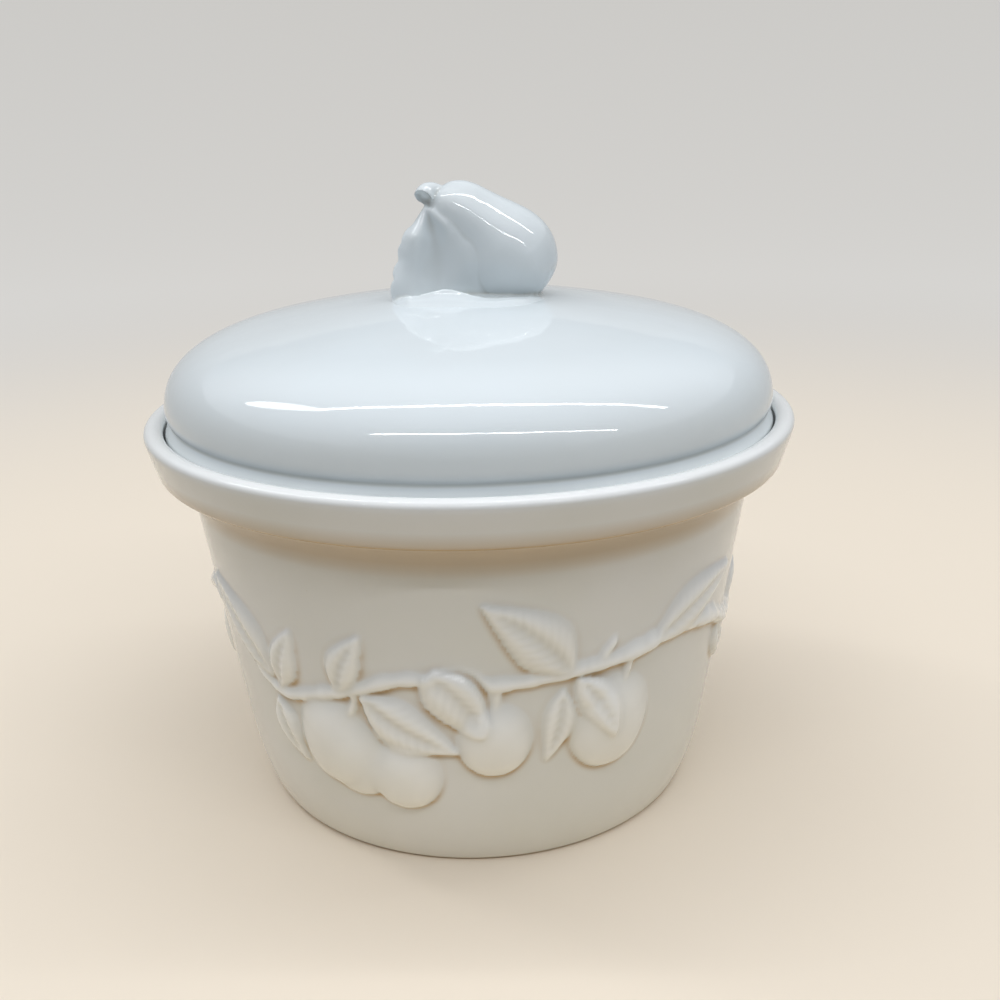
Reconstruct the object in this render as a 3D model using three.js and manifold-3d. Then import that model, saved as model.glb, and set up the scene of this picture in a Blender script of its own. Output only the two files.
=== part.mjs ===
// A round covered crock of white glazed earthenware. The pot tapers to its foot and ends at the top in
// a deep collar. A garland of fruit and leaves stands in low relief round its wall, the same twice over.
// The domed lid drops into a ledge inside the rim, and a fruit lying on leaves is its handle.
// Millimetres, +Z up, the front towards -Y, the origin at the middle of the foot on the table.
import * as THREE from "three";
import { mergeVertices } from "three/addons/utils/BufferGeometryUtils.js";
import Module from "manifold-3d";

const wasm = await Module();
wasm.setup();

// Crock: overall sizes
const rimRadius = 76;
const crockHeight = 92.2;
const wallThickness = 4.2;
const floorThickness = 4.6;

// Crock: foot and heel
const footRadius = 53.2;
const footWidth = 6;
const footRecess = 1.6;
const footRounding = 0.9;
const heelRadius = 58.2;
const heelHeight = 18.2;
const heelCurveRadius = 56.4;
const heelCurveHeight = 5.5;
const floorFillet = 7;

// Crock: neck, collar and lip
const neckRadius = 66;
const neckHeight = 73;
const collarUndersideRadius = 72.6;
const collarUndersideHeight = 81.6;
const collarRounding = 1.2;
const lipThickness = 4.3;
const lipRise = 1.6;

// Ledge inside the rim, where the lid sits
const ledgeDepth = 6.5;
const ledgeWidth = 6.2;
const ledgeRounding = 0.8;
const throatHeight = 8.5;

// Lid
const lidClearance = 1.7;
const lidOverhang = 0.9;
const lidNeckHeight = 7;
const lidFlangeWidth = 1;
const lidFlangeFoot = 2.6;
const lidFlangeHeight = 4.6;
const lidCurlHeight = 3;
const lidRise = 22;
const lidBrowRadius = 50;
const lidBrowDrop = 5.5;
const lidShoulderRadius = 61;
const lidShoulderDrop = 7.5;
const lidShoulderFullness = 9.6;
const lidThickness = 3.8;
const lidSeatWidth = 3.8;
const lidSeatRounding = 0.7;
const seatGap = 0.3;

// Garland: sizes of its pieces
const branchRadius = 1.7;
const twigRadius = 1.1;
const leafRise = 1.5;
const fruitRadius = 9;
const fruitRise = 2.7;
const rootDepth = 0.6;

// Handle: fruit
const fruitBodyRadius = 11.3;
const fruitNeckRadius = 7.4;
const fruitReach = 14.5;
const fruitLeanDegrees = 47.5;
const fruitBodyAside = 9.5;
const fruitBodyRise = 8.1;

// Handle: stem
const stemRadius = 1.5;
const stemKnobRadius = 2.2;
const stemReach = 5;
const stemLeanDegrees = 42;
const stemForwardDegrees = 22;
const stemAside = 8.2;
const stemKnobRise = 23.7;

// Handle: leaf that the fruit lies on
const bedLeafLength = 38;
const bedLeafWidth = 30;
const bedLeafThickness = 2;
const bedLeafAside = 0.6;
const bedLeafForward = 1.5;

// Handle: leaf that stands at the stem end
const standingLeafLength = 35;
const standingLeafWidth = 17;
const standingLeafThickness = 6;
const standingLeafTopAside = 7.6;
const standingLeafTopRise = 22.4;
const standingLeafTopForward = 0.5;
const standingLeafSplayDegrees = 13;
const standingLeafForwardDegrees = 10;
const standingLeafTurnDegrees = -20;

// How finely round things are cut
const turnSides = 60;
const curveSteps = 3;
const leafSides = 6;
const branchSides = 6;
const branchSteps = 32;
const twigSteps = 2;
const fruitSides = 10;
const fruitRings = 8;
const mergeDistance = 0.0005;

// Places that follow from the sizes
const repeats = 2;
const ledgeHeight = crockHeight - ledgeDepth;
const rimInnerRadius = rimRadius - lipThickness;
const ledgeInnerRadius = rimInnerRadius - ledgeWidth;
const wallSlope = (neckRadius - heelRadius) / (neckHeight - heelHeight);
const floorTop = footRecess + floorThickness;
const lidBottom = ledgeHeight + seatGap;
const lidNeckRadius = rimInnerRadius - lidClearance;
const lidRadius = lidNeckRadius + lidOverhang;
const lidWidest = lidBottom + lidNeckHeight + lidCurlHeight;
const lidTop = lidWidest + lidRise;
const bedLeafTop = lidTop + bedLeafThickness;
const garlandRadius = (heelRadius + neckRadius) / 2;
const repeatGirth = (2 * Math.PI * garlandRadius) / repeats;

// A leaf's outline: distance from the base as a share of its length, half width as a share of the widest.
const leafOutlineShares = [
  [0, 0],
  [0.06, 0.3],
  [0.18, 0.74],
  [0.34, 1],
  [0.52, 0.94],
  [0.7, 0.68],
  [0.86, 0.34],
  [1, 0],
];

// Garland places. Turns are shares of one repeat's girth, counted from the front, and heights are
// shares of the crock's height. The branch is a row of points.
const branchShares = [
  [-0.5, 0.6],
  [-0.44, 0.665],
  [-0.37, 0.665],
  [-0.31, 0.545],
  [-0.268, 0.44],
  [-0.237, 0.422],
  [-0.184, 0.452],
  [-0.135, 0.487],
  [-0.078, 0.53],
  [-0.013, 0.528],
  [0.021, 0.519],
  [0.09, 0.533],
  [0.17, 0.546],
  [0.235, 0.572],
  [0.3, 0.54],
  [0.385, 0.49],
  [0.44, 0.52],
  [0.5, 0.6],
];

// Each leaf: base turn and height, tip turn and height, width as a share of its own length, and rise
// as a share of the full leaf rise.
const leafShares = [
  [-0.262, 0.45, -0.338, 0.69, 0.3, 0.9],
  [-0.241, 0.439, -0.206, 0.63, 0.46, 1],
  [-0.157, 0.475, -0.118, 0.65, 0.48, 1],
  [-0.255, 0.395, -0.226, 0.24, 0.4, 0.9],
  [-0.127, 0.478, -0.022, 0.343, 0.5, 1.5],
  [-0.053, 0.55, 0.006, 0.395, 0.8, 1.3],
  [0.1, 0.535, 0.005, 0.728, 0.5, 1.1],
  [0.193, 0.53, 0.293, 0.668, 0.34, 1.1],
  [0.106, 0.52, 0.149, 0.35, 0.46, 2.3],
  [0.09, 0.493, 0.073, 0.3, 0.4, 1.1],
  [0.34, 0.5, 0.43, 0.385, 0.42, 1],
  [0.355, 0.51, 0.42, 0.71, 0.4, 1],
];

// Each fruit: turn and height of its middle, half width and half height as shares of the fruit
// radius, and rise as a share of the full fruit rise.
const fruitShares = [
  [-0.174, 0.335, 1.1, 1.3, 1],
  [-0.13, 0.285, 1, 1.05, 0.95],
  [-0.083, 0.275, 0.95, 1.03, 1],
  [0.016, 0.38, 0.95, 1.06, 1],
  [0.152, 0.382, 1.2, 1.34, 1],
  [-0.5, 0.45, 0.95, 1.05, 1],
];

// Each twig: start turn and height, end turn and height.
const twigShares = [
  [0.125, 0.535, 0.146, 0.59],
  [0.17, 0.545, 0.165, 0.47],
  [-0.135, 0.48, -0.15, 0.4],
  [0.02, 0.51, 0.018, 0.45],
  [-0.49, 0.61, -0.5, 0.52],
];

const crockGlaze = new THREE.MeshStandardMaterial({ color: "#e6dfd3", roughness: 0.12, metalness: 0 });
const lidGlaze = new THREE.MeshStandardMaterial({ color: "#e2e8ea", roughness: 0.1, metalness: 0 });
const finialGlaze = new THREE.MeshStandardMaterial({ color: "#dfe5e4", roughness: 0.1, metalness: 0 });

// The closed solid of a geometry, its shared vertices merged and its collapsed triangles left out.
function solidOf(geometry) {
  const bare = geometry.clone();
  bare.deleteAttribute("normal");
  bare.deleteAttribute("uv");
  const merged = mergeVertices(bare, mergeDistance);
  const kept = [];
  for (let i = 0; i < merged.index.count; i += 3) {
    const corners = [merged.index.getX(i), merged.index.getX(i + 1), merged.index.getX(i + 2)];
    if (new Set(corners).size === 3) kept.push(...corners);
  }
  const mesh = new wasm.Mesh({
    numProp: 3,
    vertProperties: merged.attributes.position.array,
    triVerts: new Uint32Array(kept),
  });
  return new wasm.Manifold(mesh);
}

function meshOf(solid, name, material) {
  const data = solid.getMesh();
  const geometry = new THREE.BufferGeometry();
  geometry.setAttribute("position", new THREE.BufferAttribute(data.vertProperties, 3));
  geometry.setIndex(new THREE.BufferAttribute(data.triVerts, 1));
  geometry.computeVertexNormals();
  const mesh = new THREE.Mesh(geometry, material);
  mesh.name = name;
  return mesh;
}

// A profile of radius and height, turned about the upright axis.
function turned(points, sides) {
  return new THREE.LatheGeometry(points, sides).rotateX(Math.PI / 2);
}

// Crock
function crockProfile() {
  const path = new THREE.Path();
  path.moveTo(0, footRecess);
  path.lineTo(footRadius - footWidth - footRecess, footRecess);
  path.lineTo(footRadius - footWidth, 0);
  path.lineTo(footRadius - footRounding, 0);
  path.lineTo(footRadius + footRounding / 2, footRounding);
  path.quadraticCurveTo(heelCurveRadius, heelCurveHeight, heelRadius, heelHeight);
  path.lineTo(neckRadius, neckHeight);
  path.quadraticCurveTo(
    neckRadius + wallSlope * (collarUndersideHeight - neckHeight),
    collarUndersideHeight,
    collarUndersideRadius,
    collarUndersideHeight,
  );
  path.lineTo(collarUndersideRadius + collarRounding, collarUndersideHeight + collarRounding);
  const lipMiddle = rimRadius - lipThickness / 2;
  const lipFoot = crockHeight - lipRise;
  path.lineTo(rimRadius, lipFoot);
  path.absellipse(lipMiddle, lipFoot, lipThickness / 2, lipRise, 0, Math.PI, false, 0);
  path.lineTo(rimInnerRadius, ledgeHeight + ledgeRounding);
  path.lineTo(rimInnerRadius - ledgeRounding, ledgeHeight);
  path.lineTo(ledgeInnerRadius + ledgeRounding, ledgeHeight);
  path.lineTo(ledgeInnerRadius, ledgeHeight - ledgeRounding);
  const throatFoot = ledgeHeight - throatHeight;
  const floorEdge = wallRadiusAt(floorTop + floorFillet) - wallThickness;
  path.quadraticCurveTo(
    wallRadiusAt(throatFoot) - wallThickness,
    ledgeHeight - throatHeight / 2,
    wallRadiusAt(throatFoot) - wallThickness,
    throatFoot,
  );
  path.lineTo(floorEdge, floorTop + floorFillet);
  path.quadraticCurveTo(floorEdge, floorTop, floorEdge - floorFillet, floorTop);
  path.lineTo(0, floorTop);
  return path.getPoints(curveSteps);
}

// The plain wall's outer radius at a height, between heel and neck.
function wallRadiusAt(height) {
  return heelRadius + wallSlope * (height - heelHeight);
}

// Lays a flat motif on the wall of one repeat. Its x runs along the girth, its y is the height and
// its z stands out of the wall.
function laidOnWall(geometry, repeat) {
  const place = geometry.attributes.position;
  for (let i = 0; i < place.count; i++) {
    const height = place.getY(i);
    const turn = place.getX(i) / garlandRadius + (repeat * 2 * Math.PI) / repeats;
    const radius = wallRadiusAt(height) + place.getZ(i);
    place.setXYZ(i, radius * Math.sin(turn), -radius * Math.cos(turn), height);
  }
  return geometry;
}

function garlandPoint(turnShare, heightShare, rise = 0) {
  return new THREE.Vector3(turnShare * repeatGirth, heightShare * crockHeight, rise);
}

// A leaf body: a flattened spindle with a pointed tip, from the origin along +Y, thickest in Z.
function leafBody(length, width, thickness) {
  const outline = leafOutlineShares.map(
    ([along, across]) => new THREE.Vector2((across * width) / 2, along * length),
  );
  return new THREE.LatheGeometry(outline, leafSides).scale(1, 1, thickness / width);
}

function garlandLeaf([baseTurn, baseHeight, tipTurn, tipHeight, widthShare, riseShare]) {
  const base = garlandPoint(baseTurn, baseHeight, -rootDepth);
  const span = garlandPoint(tipTurn, tipHeight, -rootDepth).sub(base);
  const length = span.length();
  const body = leafBody(length, length * widthShare, 2 * (leafRise * riseShare + rootDepth));
  return body.rotateZ(-Math.atan2(span.x, span.y)).translate(base.x, base.y, base.z);
}

function garlandFruit([turnShare, heightShare, widthShare, tallShare, riseShare]) {
  const middle = garlandPoint(turnShare, heightShare, -rootDepth);
  const body = new THREE.SphereGeometry(1, fruitSides, fruitRings);
  body.scale(
    fruitRadius * widthShare,
    fruitRadius * tallShare,
    fruitRise * riseShare + rootDepth,
  );
  return body.translate(middle.x, middle.y, middle.z);
}

// A round rod along a row of points, half of it sunk in the wall.
function garlandRod(shares, radius, steps) {
  const places = shares.map(([turn, height]) => garlandPoint(turn, height));
  const section = new THREE.Shape();
  for (let i = 0; i < branchSides; i++) {
    const turn = (i / branchSides) * 2 * Math.PI;
    const corner = new THREE.Vector2(radius * Math.cos(turn), radius * Math.sin(turn));
    if (i === 0) section.moveTo(corner.x, corner.y);
    else section.lineTo(corner.x, corner.y);
  }
  return new THREE.ExtrudeGeometry(section, {
    steps,
    bevelEnabled: false,
    extrudePath: new THREE.CatmullRomCurve3(places, false, "centripetal"),
  });
}

function makeCrock() {
  let body = solidOf(turned(crockProfile(), turnSides));
  for (let repeat = 0; repeat < repeats; repeat++) {
    const motifs = [
      garlandRod(branchShares, branchRadius, branchSteps),
      ...twigShares.map(([a, b, c, d]) => garlandRod([[a, b], [c, d]], twigRadius, twigSteps)),
      ...leafShares.map(garlandLeaf),
      ...fruitShares.map(garlandFruit),
    ];
    for (const motif of motifs) body = body.add(solidOf(laidOnWall(motif, repeat)));
  }
  return meshOf(body, "crock", crockGlaze);
}

// Lid
// The dome's curve from the middle of the crown out to its widest line, set in by the inset.
function domePoints(inset, steps) {
  const top = lidTop - inset;
  const side = lidRadius - inset;
  const path = new THREE.Path();
  path.moveTo(0, top);
  path.quadraticCurveTo(lidBrowRadius / 2, top, lidBrowRadius, top - lidBrowDrop);
  path.bezierCurveTo(
    lidShoulderRadius - inset / 2,
    top - lidShoulderDrop,
    side,
    lidWidest + lidShoulderFullness - inset / 2,
    side,
    lidWidest,
  );
  return path.getPoints(steps);
}

// The neck stands on the ledge, flares to a narrow flange inside the rim, and rolls out to the dome.
function lidProfile() {
  const seatInner = lidNeckRadius - lidSeatWidth;
  const neckTop = lidBottom + lidNeckHeight;
  const under = new THREE.Path();
  under.moveTo(seatInner, lidWidest);
  under.lineTo(seatInner, lidBottom + lidSeatRounding);
  under.quadraticCurveTo(seatInner, lidBottom, seatInner + lidSeatRounding, lidBottom);
  under.lineTo(lidNeckRadius - lidSeatRounding, lidBottom);
  under.quadraticCurveTo(lidNeckRadius, lidBottom, lidNeckRadius, lidBottom + lidSeatRounding);
  under.lineTo(lidNeckRadius, lidBottom + lidFlangeFoot);
  under.lineTo(lidNeckRadius + lidFlangeWidth, lidBottom + lidFlangeHeight);
  under.lineTo(lidNeckRadius, neckTop);
  under.quadraticCurveTo(lidRadius, neckTop, lidRadius, lidWidest);
  const inner = domePoints(lidThickness, curveSteps);
  const outer = domePoints(0, 2 * curveSteps).reverse();
  return [...inner.slice(0, -1), ...under.getPoints(curveSteps), ...outer.slice(1)];
}

function makeLid() {
  return meshOf(solidOf(turned(lidProfile(), turnSides)), "lid", lidGlaze);
}

// The space that the lid's dome takes, and a little more, for what is seated on it.
function domeSpace() {
  const outer = domePoints(0, 2 * curveSteps).reverse();
  const points = [new THREE.Vector2(0, lidWidest), ...outer];
  return solidOf(turned(points, turnSides)).translate(0, 0, seatGap);
}

// Handle
// The fruit of the handle: two round ends joined by a straight taper, grown by the spare.
function fruitSpace(spare) {
  const body = fruitBodyRadius + spare;
  const neck = fruitNeckRadius + spare;
  const taper = Math.asin((body - neck) / fruitReach);
  const path = new THREE.Path();
  path.absarc(0, 0, body, -Math.PI / 2, taper, false);
  path.absarc(0, fruitReach, neck, taper, Math.PI / 2, false);
  const points = path.getPoints(curveSteps + 1);
  points[0].x = 0;
  points[points.length - 1].x = 0;
  const geometry = turned(points, 2 * fruitSides);
  geometry.rotateY(THREE.MathUtils.degToRad(-fruitLeanDegrees));
  geometry.translate(fruitBodyAside, 0, lidTop + fruitBodyRise);
  return solidOf(geometry);
}

// Everything from the bed leaf's top down, with the gap, as one block under the handle.
function bedSpace() {
  const side = 2 * bedLeafLength;
  const block = new THREE.BoxGeometry(side, side, side);
  block.translate(0, 0, bedLeafTop + seatGap - side / 2);
  return solidOf(block);
}

function makeFinialFruit() {
  return meshOf(fruitSpace(0).subtract(bedSpace()), "finial_fruit", finialGlaze);
}

// The bed leaf is an oval pad with a pointed end, hollowed below to the curve of the dome.
function makeBedLeaf() {
  const outline = new THREE.Shape();
  const corner = ([along, across], side) =>
    new THREE.Vector2((1 / 2 - along) * bedLeafLength, (side * across * bedLeafWidth) / 2);
  const left = leafOutlineShares.map((place) => corner(place, 1));
  const right = leafOutlineShares.slice(1, -1).map((place) => corner(place, -1));
  outline.setFromPoints([...left, ...right.reverse()]);
  const pad = new THREE.ExtrudeGeometry(outline, {
    depth: bedLeafThickness + lidBrowDrop,
    bevelEnabled: false,
  });
  pad.translate(bedLeafAside, -bedLeafForward, lidTop - lidBrowDrop);
  return meshOf(solidOf(pad).subtract(domeSpace()), "finial_bed_leaf", finialGlaze);
}

function standingLeafSolid() {
  const body = leafBody(standingLeafLength, standingLeafWidth, standingLeafThickness);
  body.rotateX(-Math.PI / 2);
  body.rotateZ(THREE.MathUtils.degToRad(standingLeafTurnDegrees));
  body.rotateX(THREE.MathUtils.degToRad(-standingLeafForwardDegrees));
  body.rotateY(THREE.MathUtils.degToRad(standingLeafSplayDegrees));
  body.translate(-standingLeafTopAside, -standingLeafTopForward, lidTop + standingLeafTopRise);
  return solidOf(body);
}

// The stem is a stub with a swollen end, which curls up and forward from the fruit's neck, grown by
// the spare.
function stemSpace(spare) {
  const radius = stemRadius + spare;
  const knob = stemKnobRadius + spare;
  const path = new THREE.Path();
  path.moveTo(0, -stemReach);
  path.lineTo(radius, -stemReach);
  path.quadraticCurveTo(radius, -knob, knob, 0);
  path.absarc(0, 0, knob, 0, Math.PI / 2, false);
  const points = path.getPoints(curveSteps);
  points[points.length - 1].x = 0;
  const geometry = turned(points, fruitSides);
  geometry.rotateX(THREE.MathUtils.degToRad(stemForwardDegrees));
  geometry.rotateY(THREE.MathUtils.degToRad(-stemLeanDegrees));
  geometry.translate(-stemAside, 0, lidTop + stemKnobRise);
  return solidOf(geometry);
}

function makeStem() {
  return meshOf(stemSpace(0).subtract(fruitSpace(seatGap)), "finial_stem", finialGlaze);
}

function makeStandingLeaf() {
  const seated = standingLeafSolid().subtract(bedSpace());
  const body = seated.subtract(fruitSpace(seatGap)).subtract(stemSpace(seatGap));
  return meshOf(body, "finial_standing_leaf", finialGlaze);
}

const coveredCrock = new THREE.Group();
const lidGroup = new THREE.Group();
lidGroup.add(makeLid(), makeBedLeaf(), makeFinialFruit(), makeStandingLeaf(), makeStem());
coveredCrock.add(makeCrock(), lidGroup);

export default coveredCrock;
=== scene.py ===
# %% [markdown]
# # A covered crock of white glazed earthenware
# The pot was slip-cast in a mould that also gave it the garland of fruit and leaves. The lid is a
# hollow dome that drops into the rim. Its handle, a fruit lying on two leaves, was luted on with slip,
# and then everything was dipped in one clear glossy glaze. This lesson dresses the imported solids with
# those surfaces. The first cell loads the solids as a frame that never moves.

# %% Load the frame
import math

import bmesh
import bpy
import numpy as np
from mathutils import Matrix, Vector, noise


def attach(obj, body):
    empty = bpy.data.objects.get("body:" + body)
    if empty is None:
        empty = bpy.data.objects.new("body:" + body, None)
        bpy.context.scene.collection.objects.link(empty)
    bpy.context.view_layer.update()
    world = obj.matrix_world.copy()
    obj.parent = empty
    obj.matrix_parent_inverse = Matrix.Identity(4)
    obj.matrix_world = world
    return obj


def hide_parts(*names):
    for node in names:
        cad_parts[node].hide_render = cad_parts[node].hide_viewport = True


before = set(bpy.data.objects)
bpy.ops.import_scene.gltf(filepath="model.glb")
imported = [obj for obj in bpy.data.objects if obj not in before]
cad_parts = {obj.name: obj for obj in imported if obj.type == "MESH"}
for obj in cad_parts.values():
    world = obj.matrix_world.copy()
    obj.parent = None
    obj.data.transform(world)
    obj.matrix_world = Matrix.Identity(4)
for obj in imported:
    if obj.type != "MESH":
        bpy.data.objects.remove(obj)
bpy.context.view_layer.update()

# %% [markdown]
# ## Working units and colours
# The drawings are in millimetres and Blender works in metres, so one number turns one into the other.
# Colours are picked as sRGB hex values, as on a colour card, and Blender mixes light in linear values,
# so one function turns a card's colour into a linear one. One more adds a node with all its links.

# %% Units, colours and nodes
MM = 0.001


def card(code):
    """The linear colour of an sRGB hex code."""
    parts = [int(code[i : i + 2], 16) / 255 for i in (1, 3, 5)]
    return [c / 12.92 if c <= 0.04045 else ((c + 0.055) / 1.055) ** 2.4 for c in parts] + [1.0]


def add(tree, kind, sockets=None, out=None, **settings):
    """Adds a node with its settings, sets or links its inputs by name or number, and returns one output."""
    node = tree.nodes.new("ShaderNode" + kind)
    for name, value in settings.items():
        setattr(node, name, value)
    for name, value in (sockets or {}).items():
        named = [s for s in node.inputs if s.enabled and s.name == name]
        socket = named[0] if named else node.inputs[name]
        if isinstance(value, bpy.types.NodeSocket):
            tree.links.new(value, socket)
        else:
            socket.default_value = value
    shown = [s for s in node.outputs if s.enabled]
    return next((s for s in shown if s.name == out), shown[0] if shown else node)


def new_material(name):
    """A material with an empty node tree."""
    material = bpy.data.materials.new(name)
    material.use_nodes = True
    material.node_tree.nodes.clear()
    return material, material.node_tree


print("an ivory glaze in linear light:", [round(c, 3) for c in card("#e6dfd3")])

# %% [markdown]
# ## The camera
# The photo was taken from close by with a phone, a little above the rim. A close camera makes the front
# of the rim look wide and the foot look small, so its place matters more than its lens. Its place comes
# from the ellipses of the rim and foot. Parallel lines of the worktop gave its tilt.

# %% Camera
CAMERA_PLACE = Vector((0, -0.2677, 0.1578))
PITCH, YAW, ROLL = (math.radians(a) for a in (18.82, 1.43, -1.09))
FOCAL_PIXELS, FRAME_PIXELS, SENSOR_MM = 1138, 1000, 36
ahead = Vector((math.sin(YAW) * math.cos(PITCH), math.cos(YAW) * math.cos(PITCH), -math.sin(PITCH)))
level = Vector((math.cos(YAW), -math.sin(YAW), 0))
upright = level.cross(ahead)
right = math.cos(ROLL) * level + math.sin(ROLL) * upright
up = math.cos(ROLL) * upright - math.sin(ROLL) * level
camera = bpy.data.objects.new("camera", bpy.data.cameras.new("camera"))
camera.matrix_world = Matrix.Translation(CAMERA_PLACE) @ Matrix((right, up, -ahead)).transposed().to_4x4()
camera.data.sensor_width = SENSOR_MM
camera.data.lens = FOCAL_PIXELS / FRAME_PIXELS * SENSOR_MM
camera.data.clip_start = 0.01
bpy.context.scene.collection.objects.link(camera)
bpy.context.scene.camera = camera
print("lens", round(camera.data.lens, 2), "mm")

# %% [markdown]
# ## Turned forms
# Pot and lid are bodies of revolution, as they came off a plaster model that was turned on a wheel. One
# way is a cylinder that is pushed about ring by ring. A better one is to draw half of the section and
# spin it, because then each curve of the section is a curve that can be measured in the photo.

# %% Section curves and the spin
WEDGES, MERGE = 8, 0.002 * MM


def bezier(controls, steps):
    """Points along a Bezier curve, the first left out, so that curves chain up."""
    made = []
    for i in range(1, steps + 1):
        row = [Vector(c) for c in controls]
        while len(row) > 1:
            row = [a.lerp(b, i / steps) for a, b in zip(row, row[1:])]
        made.append(tuple(row[0]))
    return made


def full_curve(controls, steps):
    """The same curve with its first point, for the start of a line or the end of a straight."""
    return [controls[0]] + bezier(controls, steps)


def through(points, share):
    """A place on the curve that passes through all the points, by its share of the way."""
    points = [Vector(p) for p in points]
    points = [2 * points[0] - points[1]] + points + [2 * points[-1] - points[-2]]
    way = min(max(share, 0), 1) * (len(points) - 3)
    i = min(int(way), len(points) - 4)
    t = way - i
    a, b, c, d = points[i : i + 4]
    return 0.5 * (2 * b + (c - a) * t + (2 * a - 5 * b + 4 * c - d) * t**2 + (3 * b - a - 3 * c + d) * t**3)


def spin(bm, section, columns):
    """Spins a section of (radius, height) in mm all the way round, and returns the points it made.

    One wedge is spun and then copied round, since a spin gets slow when it makes many columns.
    """
    known = set(bm.verts)
    verts = [bm.verts.new((radius * MM, 0, height * MM)) for radius, height in section]
    edges = [bm.edges.new(pair) for pair in zip(verts, verts[1:])]
    about = {"cent": (0, 0, 0), "axis": (0, 0, 1), "dvec": (0, 0, 0)}
    wedge = 2 * math.pi / WEDGES
    bmesh.ops.spin(bm, geom=verts + edges, angle=wedge, steps=columns // WEDGES, **about)
    parts = [part for kind in (bm.verts, bm.edges, bm.faces) for part in kind]
    fresh = [p for p in parts if (p if isinstance(p, bmesh.types.BMVert) else p.verts[0]) not in known]
    bmesh.ops.spin(bm, geom=fresh, angle=2 * math.pi - wedge, steps=WEDGES - 1, use_duplicate=True, **about)
    bmesh.ops.remove_doubles(bm, verts=[v for v in bm.verts if v not in known], dist=MERGE)
    return [v for v in bm.verts if v not in known]


def close_up(bm):
    """Merges doubles, as at the poles, and turns all faces outwards."""
    bmesh.ops.remove_doubles(bm, verts=bm.verts, dist=MERGE)
    bmesh.ops.recalc_face_normals(bm, faces=bm.faces)


def to_piece(bm, name, *materials):
    """Makes the bmesh a smooth-shaded object at the origin."""
    mesh = bpy.data.meshes.new(name)
    bm.to_mesh(mesh)
    bm.free()
    mesh.shade_smooth()
    for material in materials:
        mesh.materials.append(material)
    piece = bpy.data.objects.new(name, mesh)
    bpy.context.scene.collection.objects.link(piece)
    return piece


def report(piece):
    """Prints what a piece holds, and whether its surface is closed."""
    piece.data.calc_loop_triangles()
    bm = bmesh.new()
    bm.from_mesh(piece.data)
    open_edges = sum(1 for e in bm.edges if len(e.link_faces) != 2)
    bm.free()
    print(piece.name, len(piece.data.loop_triangles), "triangles,", open_edges, "open edges")


# %% [markdown]
# ## The pot's section
# From the middle of the foot outwards: a glazed hollow, the bare ring that it stands on, the curved
# heel, the straight wall that widens by 1 in 7, a cove under the collar, the flared collar with its
# rounded lip, and back in over the ledge that carries the lid. The wall from 14.2 to 68.6 mm carries
# the garland, so it is drawn apart, with many more points. The rest is smooth and needs few.

# %% Section of the pot
RIM, POT_TALL, WALL = 75.98, 92.18, 4.2
HEEL, NECK = (58.2, 18.2), (66.0, 73.0)
SLOPE = (NECK[0] - HEEL[0]) / (NECK[1] - HEEL[1])
BAND_LOW, BAND_HIGH, BAND_ROWS = 14.2, 68.6, 103
LIP_THICK, LIP_RISE, LIP_STEPS, LEDGE, LEDGE_IN = 4.3, 1.6, 11, 85.7, 65.5
FLOOR, FLOOR_ROUND, THROAT = 6.2, 7, 77.2


def wall_radius(height):
    """The plain wall's outer radius at a height, in mm."""
    return HEEL[0] + SLOPE * (height - HEEL[1])


foot = full_curve([(0, 2.1), (30, 2.1), (44, 1.7)], 5)
foot += bezier([(44, 1.7), (46.3, 1.6), (46.9, 0.5)], 4) + bezier([(46.9, 0.5), (47.2, 0), (48, 0)], 3)
foot += full_curve([(51.4, 0), (53.0, 0), (53.5, 1.0)], 5)
heel = bezier([(53.5, 1.0), (56.5, 6.8), HEEL], 60)
band = [(r, z) for r, z in heel if z >= BAND_LOW]
foot += [(r, z) for r, z in heel if z < BAND_LOW - 1.0][::4]
straight_rows = BAND_ROWS - len(band)
for i in range(1, straight_rows + 1):
    height = HEEL[1] + (BAND_HIGH - HEEL[1]) * i / straight_rows
    band.append((wall_radius(height), height))
upper = [(wall_radius(z), z) for z in (70.2, 71.6)] + [NECK]
upper += bezier([NECK, (67.25, 81.4), (70.6, 81.45), (72.2, 81.5)], 12)
upper += bezier([(72.2, 81.5), (73.5, 81.55), (73.9, 82.8)], 5)
upper += bezier([(73.9, 82.8), (74.9, 86.4), (75.6, 88.4), (RIM, POT_TALL - LIP_RISE)], 6)
lip = (RIM - LIP_THICK / 2, POT_TALL - LIP_RISE)
for i in range(1, LIP_STEPS + 1):
    turn = math.pi * i / LIP_STEPS
    upper.append((lip[0] + LIP_THICK / 2 * math.cos(turn), lip[1] + LIP_RISE * math.sin(turn)))
inner_rim = RIM - LIP_THICK
upper += full_curve([(inner_rim, LEDGE + 1.4), (inner_rim, LEDGE), (inner_rim - 1.3, LEDGE)], 4)
upper += full_curve([(LEDGE_IN + 0.9, LEDGE), (LEDGE_IN, LEDGE), (LEDGE_IN, LEDGE - 0.9)], 3)
throat = (wall_radius(THROAT) - WALL, THROAT)
upper += bezier([(LEDGE_IN, LEDGE - 0.9), (throat[0], 81.4), throat], 5)
floor_high = FLOOR + FLOOR_ROUND
floor_edge = wall_radius(floor_high) - WALL
upper += [(wall_radius(z) - WALL, z) for z in (60, 45, 30)]
upper += full_curve([(floor_edge, floor_high), (floor_edge, FLOOR), (floor_edge - FLOOR_ROUND, FLOOR)], 6)
upper += [(radius, FLOOR) for radius in (30, 12, 0)]
print("section points:", len(foot), "foot,", len(band), "garland band,", len(upper), "collar and inside")

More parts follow.
